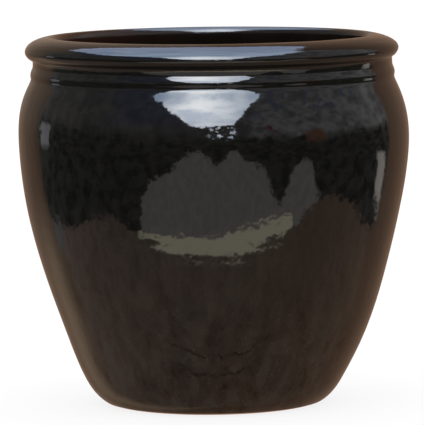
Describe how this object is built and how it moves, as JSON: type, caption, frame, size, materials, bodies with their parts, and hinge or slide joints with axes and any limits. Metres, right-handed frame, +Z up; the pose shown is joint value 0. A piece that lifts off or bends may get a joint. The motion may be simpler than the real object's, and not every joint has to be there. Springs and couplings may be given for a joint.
{
  "type": "glazed clay planter pot",
  "caption": "Large round glazed clay planter: full belly narrowing to a small foot, raised neck band, thick rolled rim and a central drain hole.",
  "frame": {"origin": "on the pot's axis, in the plane that the foot ring stands on", "axes": "+Z up along the pot's axis of revolution; +X and +Y are level and have no front or side of their own"},
  "size_m": [0.5999, 0.6, 0.5665],
  "materials": {
    "clay": "bare fired red-brown stoneware, matt and slightly gritty, seen on the foot and in the drain hole",
    "outer_glaze": "black-brown high-gloss glaze, slightly rippled, breaking to brown on edges",
    "inner_glaze": "thinner dark red-brown glaze, glossy"
  },
  "bodies": {
    "root": {"base_slab": "clay", "lower_wall": "clay", "belly_wall": "clay", "shoulder_wall": "clay", "neck_band": "clay", "rim_roll": "clay", "corner_coil": "clay", "outer_glaze": "outer_glaze", "inner_glaze": "inner_glaze"}
  },
  "joints": []
}
